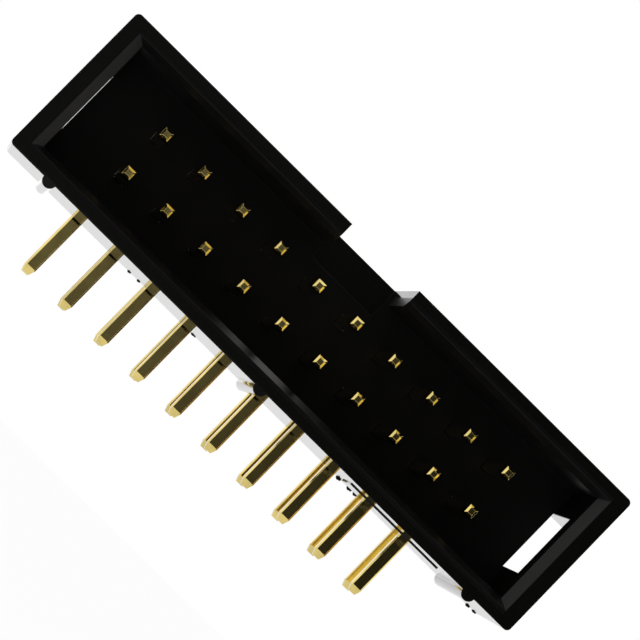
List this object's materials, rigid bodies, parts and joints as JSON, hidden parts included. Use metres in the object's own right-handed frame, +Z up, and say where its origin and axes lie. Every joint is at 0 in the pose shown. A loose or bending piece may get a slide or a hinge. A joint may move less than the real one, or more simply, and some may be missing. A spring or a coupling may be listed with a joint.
{
  "type": "right-angle box header",
  "caption": "Right-angle shrouded box header for ribbon-cable plugs, with square contacts, an open keying notch, end windows and solder tails bent down to the board.",
  "frame": {"origin": "middle of the pattern of solder tails, on the plane of the circuit board that the ribs stand on", "axes": "+X along the contact rows, +Z up from the board, -Y out of the mating face towards the plug"},
  "size_m": [0.033, 0.0138, 0.0121],
  "materials": {
    "housing_plastic": "black moulded plastic with a fine satin skin",
    "contact_gold": "thin gold plating over drawn brass wire"
  },
  "bodies": {
    "root": {"housing": "housing_plastic", "pin_front_01": "contact_gold", "pin_front_02": "contact_gold", "pin_front_03": "contact_gold", "pin_front_04": "contact_gold", "pin_front_05": "contact_gold", "pin_front_06": "contact_gold", "pin_front_07": "contact_gold", "pin_front_08": "contact_gold", "pin_front_09": "contact_gold", "pin_front_10": "contact_gold", "pin_rear_01": "contact_gold", "pin_rear_02": "contact_gold", "pin_rear_03": "contact_gold", "pin_rear_04": "contact_gold", "pin_rear_05": "contact_gold", "pin_rear_06": "contact_gold", "pin_rear_07": "contact_gold", "pin_rear_08": "contact_gold", "pin_rear_09": "contact_gold", "pin_rear_10": "contact_gold"}
  },
  "joints": []
}
